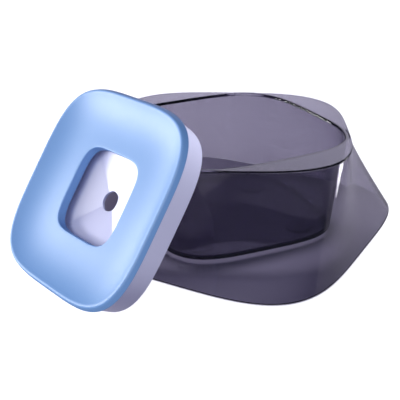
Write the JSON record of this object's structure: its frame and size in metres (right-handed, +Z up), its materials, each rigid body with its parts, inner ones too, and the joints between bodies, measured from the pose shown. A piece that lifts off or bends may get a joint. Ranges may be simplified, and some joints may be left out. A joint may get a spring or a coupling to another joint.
{
  "type": "pet water bowl with floating disc",
  "caption": "Pet water bowl: clear smoke cup in a twisted, flared skirt, with a floating anti-splash disc leaning on its rim.",
  "frame": {"origin": "on the floor, at the middle of the footprint of the bowl and the disc that leans on it", "axes": "+X right and +Y back, along the sides of the bowl's rim; +Z up. The disc leans on the bowl's front left corner."},
  "size_m": [0.3006, 0.3192, 0.1287],
  "materials": {
    "smoke_plastic": "clear smoke, polished",
    "pad_silicone": "milky, matt moulded silicone",
    "white_plastic": "white, satin gloss",
    "float_foam": "closed-cell foam",
    "blue_plastic": "light blue, fine matt"
  },
  "bodies": {
    "bowl": {"skirt": "smoke_plastic", "cup": "smoke_plastic", "foot_pad_1": "pad_silicone", "foot_pad_2": "pad_silicone", "foot_pad_3": "pad_silicone", "foot_pad_4": "pad_silicone"},
    "float": {"float_tray": "white_plastic", "float_foam": "float_foam"},
    "guard": {"splash_guard": "blue_plastic"}
  },
  "joints": [
    {"name": "disc_lift", "type": "slide", "parent": "bowl", "child": "float", "axis": [0, 0, 1], "range_m": [0, 0.1]},
    {"name": "guard_unclip", "type": "slide", "parent": "float", "child": "guard", "axis": [-0.6067, -0.5511, 0.5729], "range_m": [0, 0.04]}
  ]
}
